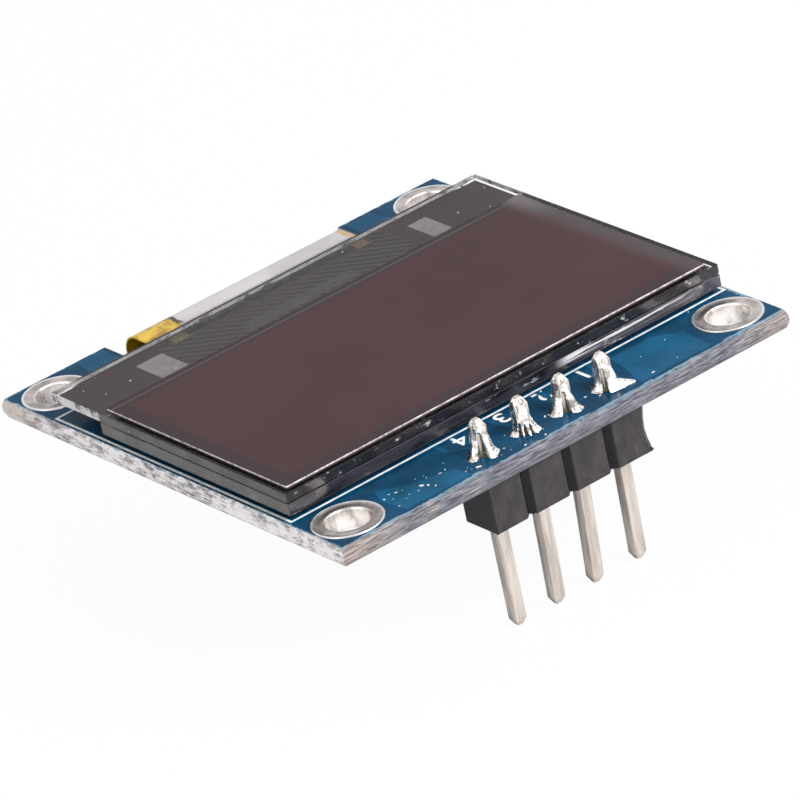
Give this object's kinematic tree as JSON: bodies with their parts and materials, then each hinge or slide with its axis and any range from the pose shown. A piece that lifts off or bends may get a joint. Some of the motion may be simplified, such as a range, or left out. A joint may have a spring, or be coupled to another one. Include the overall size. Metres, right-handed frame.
{
  "type": "small oled display module",
  "caption": "Small monochrome OLED screen on a blue breakout board, with a pin header for power and data and plated mounting holes in the corners.",
  "frame": {"origin": "centre of the four mounting holes, on the back face of the circuit board", "axes": "+Z out of the display, +Y towards the pin header, +X to the right when the display is read with the header at the top"},
  "size_m": [0.0274, 0.028, 0.0112],
  "materials": {
    "board": "satin solder mask",
    "tin": "tinned, slightly dull",
    "tape": "matt foam",
    "cap": "dark mirror-backed glass",
    "seal": "clear glue",
    "dryer": "matt",
    "emitter": "smooth metal-backed film",
    "glass": "polished",
    "polarizer": "smooth, slightly glossy",
    "chip": "polished silicon",
    "resin": "dark resin",
    "patch": "thin metal film behind glass",
    "flex": "glossy amber film",
    "solder": "bright solder",
    "header": "moulded, satin",
    "pin": "pale gold plate",
    "case": "moulded epoxy",
    "capacitor": "matt ceramic",
    "resistor": "glazed"
  },
  "bodies": {
    "root": {"circuit_board": "board", "hole_platings": "tin", "foam_tape": "tape", "cap_glass": "cap", "edge_seal": "seal", "drying_sheet": "dryer", "emitting_layers": "emitter", "front_glass": "glass", "polarizer": "polarizer", "driver_chip": "chip", "ledge_resin": "resin", "metal_patches": "patch", "flex_cable": "flex", "flex_solder": "solder", "header_body": "header", "header_pin_1": "pin", "header_pin_2": "pin", "header_pin_3": "pin", "header_pin_4": "pin", "solder_joint_1": "solder", "solder_joint_2": "solder", "solder_joint_3": "solder", "solder_joint_4": "solder", "regulator": "case", "diode": "case", "capacitor_1": "capacitor", "capacitor_2": "capacitor", "capacitor_3": "capacitor", "capacitor_4": "capacitor", "capacitor_5": "capacitor", "capacitor_6": "capacitor", "resistor_1": "resistor", "resistor_2": "resistor", "resistor_3": "resistor", "resistor_4": "resistor", "resistor_5": "resistor", "resistor_6": "resistor", "resistor_7": "resistor", "part_solder": "solder"}
  },
  "joints": []
}
